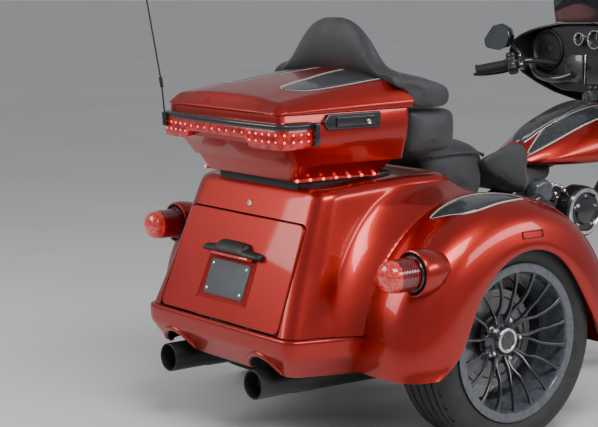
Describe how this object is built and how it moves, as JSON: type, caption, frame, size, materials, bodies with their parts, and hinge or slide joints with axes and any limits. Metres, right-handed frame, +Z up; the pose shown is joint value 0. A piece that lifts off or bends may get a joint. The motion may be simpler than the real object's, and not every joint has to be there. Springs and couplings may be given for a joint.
{
  "type": "motorized trike",
  "caption": "Three-wheeled touring motorcycle with V engine, moulded trunk body, round rear fenders, top box and fork-mounted fairing.",
  "frame": {"origin": "middle of the length and width of the whole trike, on the ground", "axes": "+X forward, +Y to the rider's left, +Z up"},
  "size_m": [2.7865, 1.39, 1.7525],
  "materials": {
    "candy_paint": "metallic candy red-orange under clear coat",
    "gloss_black": "gloss black",
    "engine_black": "wrinkle black with bare fin edges",
    "frame_black": "satin black powder coat",
    "exhaust_black": "satin black heat paint",
    "wheel_black": "gloss black cast alloy",
    "disc_steel": "ground steel",
    "tyre_rubber": "road tyre",
    "belt_rubber": "toothed belt",
    "grip_rubber": "ribbed grip",
    "seat_vinyl": "grained dark vinyl",
    "trim_black": "fine grained plastic",
    "red_lens": "clear red lens",
    "lamp_glass": "clear lens",
    "smoked_screen": "smoked acrylic"
  },
  "bodies": {
    "chassis": {"frame_tubes": "frame_black", "rear_axle": "frame_black", "drive_belt": "belt_rubber", "crankcase": "engine_black", "cylinders": "engine_black", "rocker_boxes": "engine_black", "pushrod_tubes": "engine_black", "primary_cover": "engine_black", "cam_cover": "engine_black", "air_cleaner": "gloss_black", "exhaust_pipes": "exhaust_black", "mufflers": "exhaust_black", "fuel_tank": "candy_paint", "tank_console": "gloss_black", "rider_seat": "seat_vinyl", "passenger_seat": "seat_vinyl", "side_covers": "candy_paint", "floorboards": "frame_black", "engine_guard": "gloss_black", "rear_body": "candy_paint", "fender_left": "candy_paint", "fender_right": "candy_paint", "rear_bumper": "candy_paint", "tail_lamp_lenses": "red_lens", "tail_lamp_holders": "candy_paint", "box_base": "candy_paint", "box_rack": "frame_black", "box_tail_light": "red_lens", "box_under_lights": "red_lens", "box_latch": "gloss_black", "lower_backrest": "seat_vinyl", "antenna": "trim_black"},
    "steering": {"fork": "gloss_black", "front_calipers": "gloss_black", "front_fender": "candy_paint", "handlebar": "gloss_black", "grips": "grip_rubber", "fairing": "candy_paint", "dash": "trim_black", "windshield": "smoked_screen", "headlamp": "lamp_glass", "mirrors": "gloss_black"},
    "front_wheel": {"front_tyre": "tyre_rubber", "front_rim": "wheel_black", "front_discs": "disc_steel"},
    "rear_wheel_left": {"rear_tyre_left": "tyre_rubber", "rear_rim_left": "wheel_black"},
    "rear_wheel_right": {"rear_tyre_right": "tyre_rubber", "rear_rim_right": "wheel_black"},
    "door": {"trunk_door": "candy_paint", "plate_holder": "trim_black"},
    "lid": {"box_lid": "candy_paint", "backrest_pad": "seat_vinyl"}
  },
  "joints": [
    {"name": "steering_turn", "type": "hinge", "parent": "chassis", "child": "steering", "pos_m": [0.6981, 0, 0.91385], "axis": [-0.4695, 0, 0.8829], "range_deg": [-30, 30]},
    {"name": "front_wheel_spin", "type": "hinge", "parent": "steering", "child": "front_wheel", "pos_m": [1.074, 0, 0.319], "axis": [0, 1, 0], "continuous": true},
    {"name": "rear_wheel_left_spin", "type": "hinge", "parent": "chassis", "child": "rear_wheel_left", "pos_m": [-0.596, 0.555, 0.325], "axis": [0, 1, 0], "continuous": true},
    {"name": "rear_wheel_right_spin", "type": "hinge", "parent": "chassis", "child": "rear_wheel_right", "pos_m": [-0.596, -0.555, 0.325], "axis": [0, 1, 0], "continuous": true},
    {"name": "trunk_door_hinge", "type": "hinge", "parent": "chassis", "child": "door", "pos_m": [-1.258, 0, 0.375], "axis": [0, -1, 0], "range_deg": [0, 95]},
    {"name": "box_lid_hinge", "type": "hinge", "parent": "chassis", "child": "lid", "pos_m": [-0.976, 0.304, 1.029], "axis": [-1, 0, 0], "range_deg": [0, 75]}
  ]
}
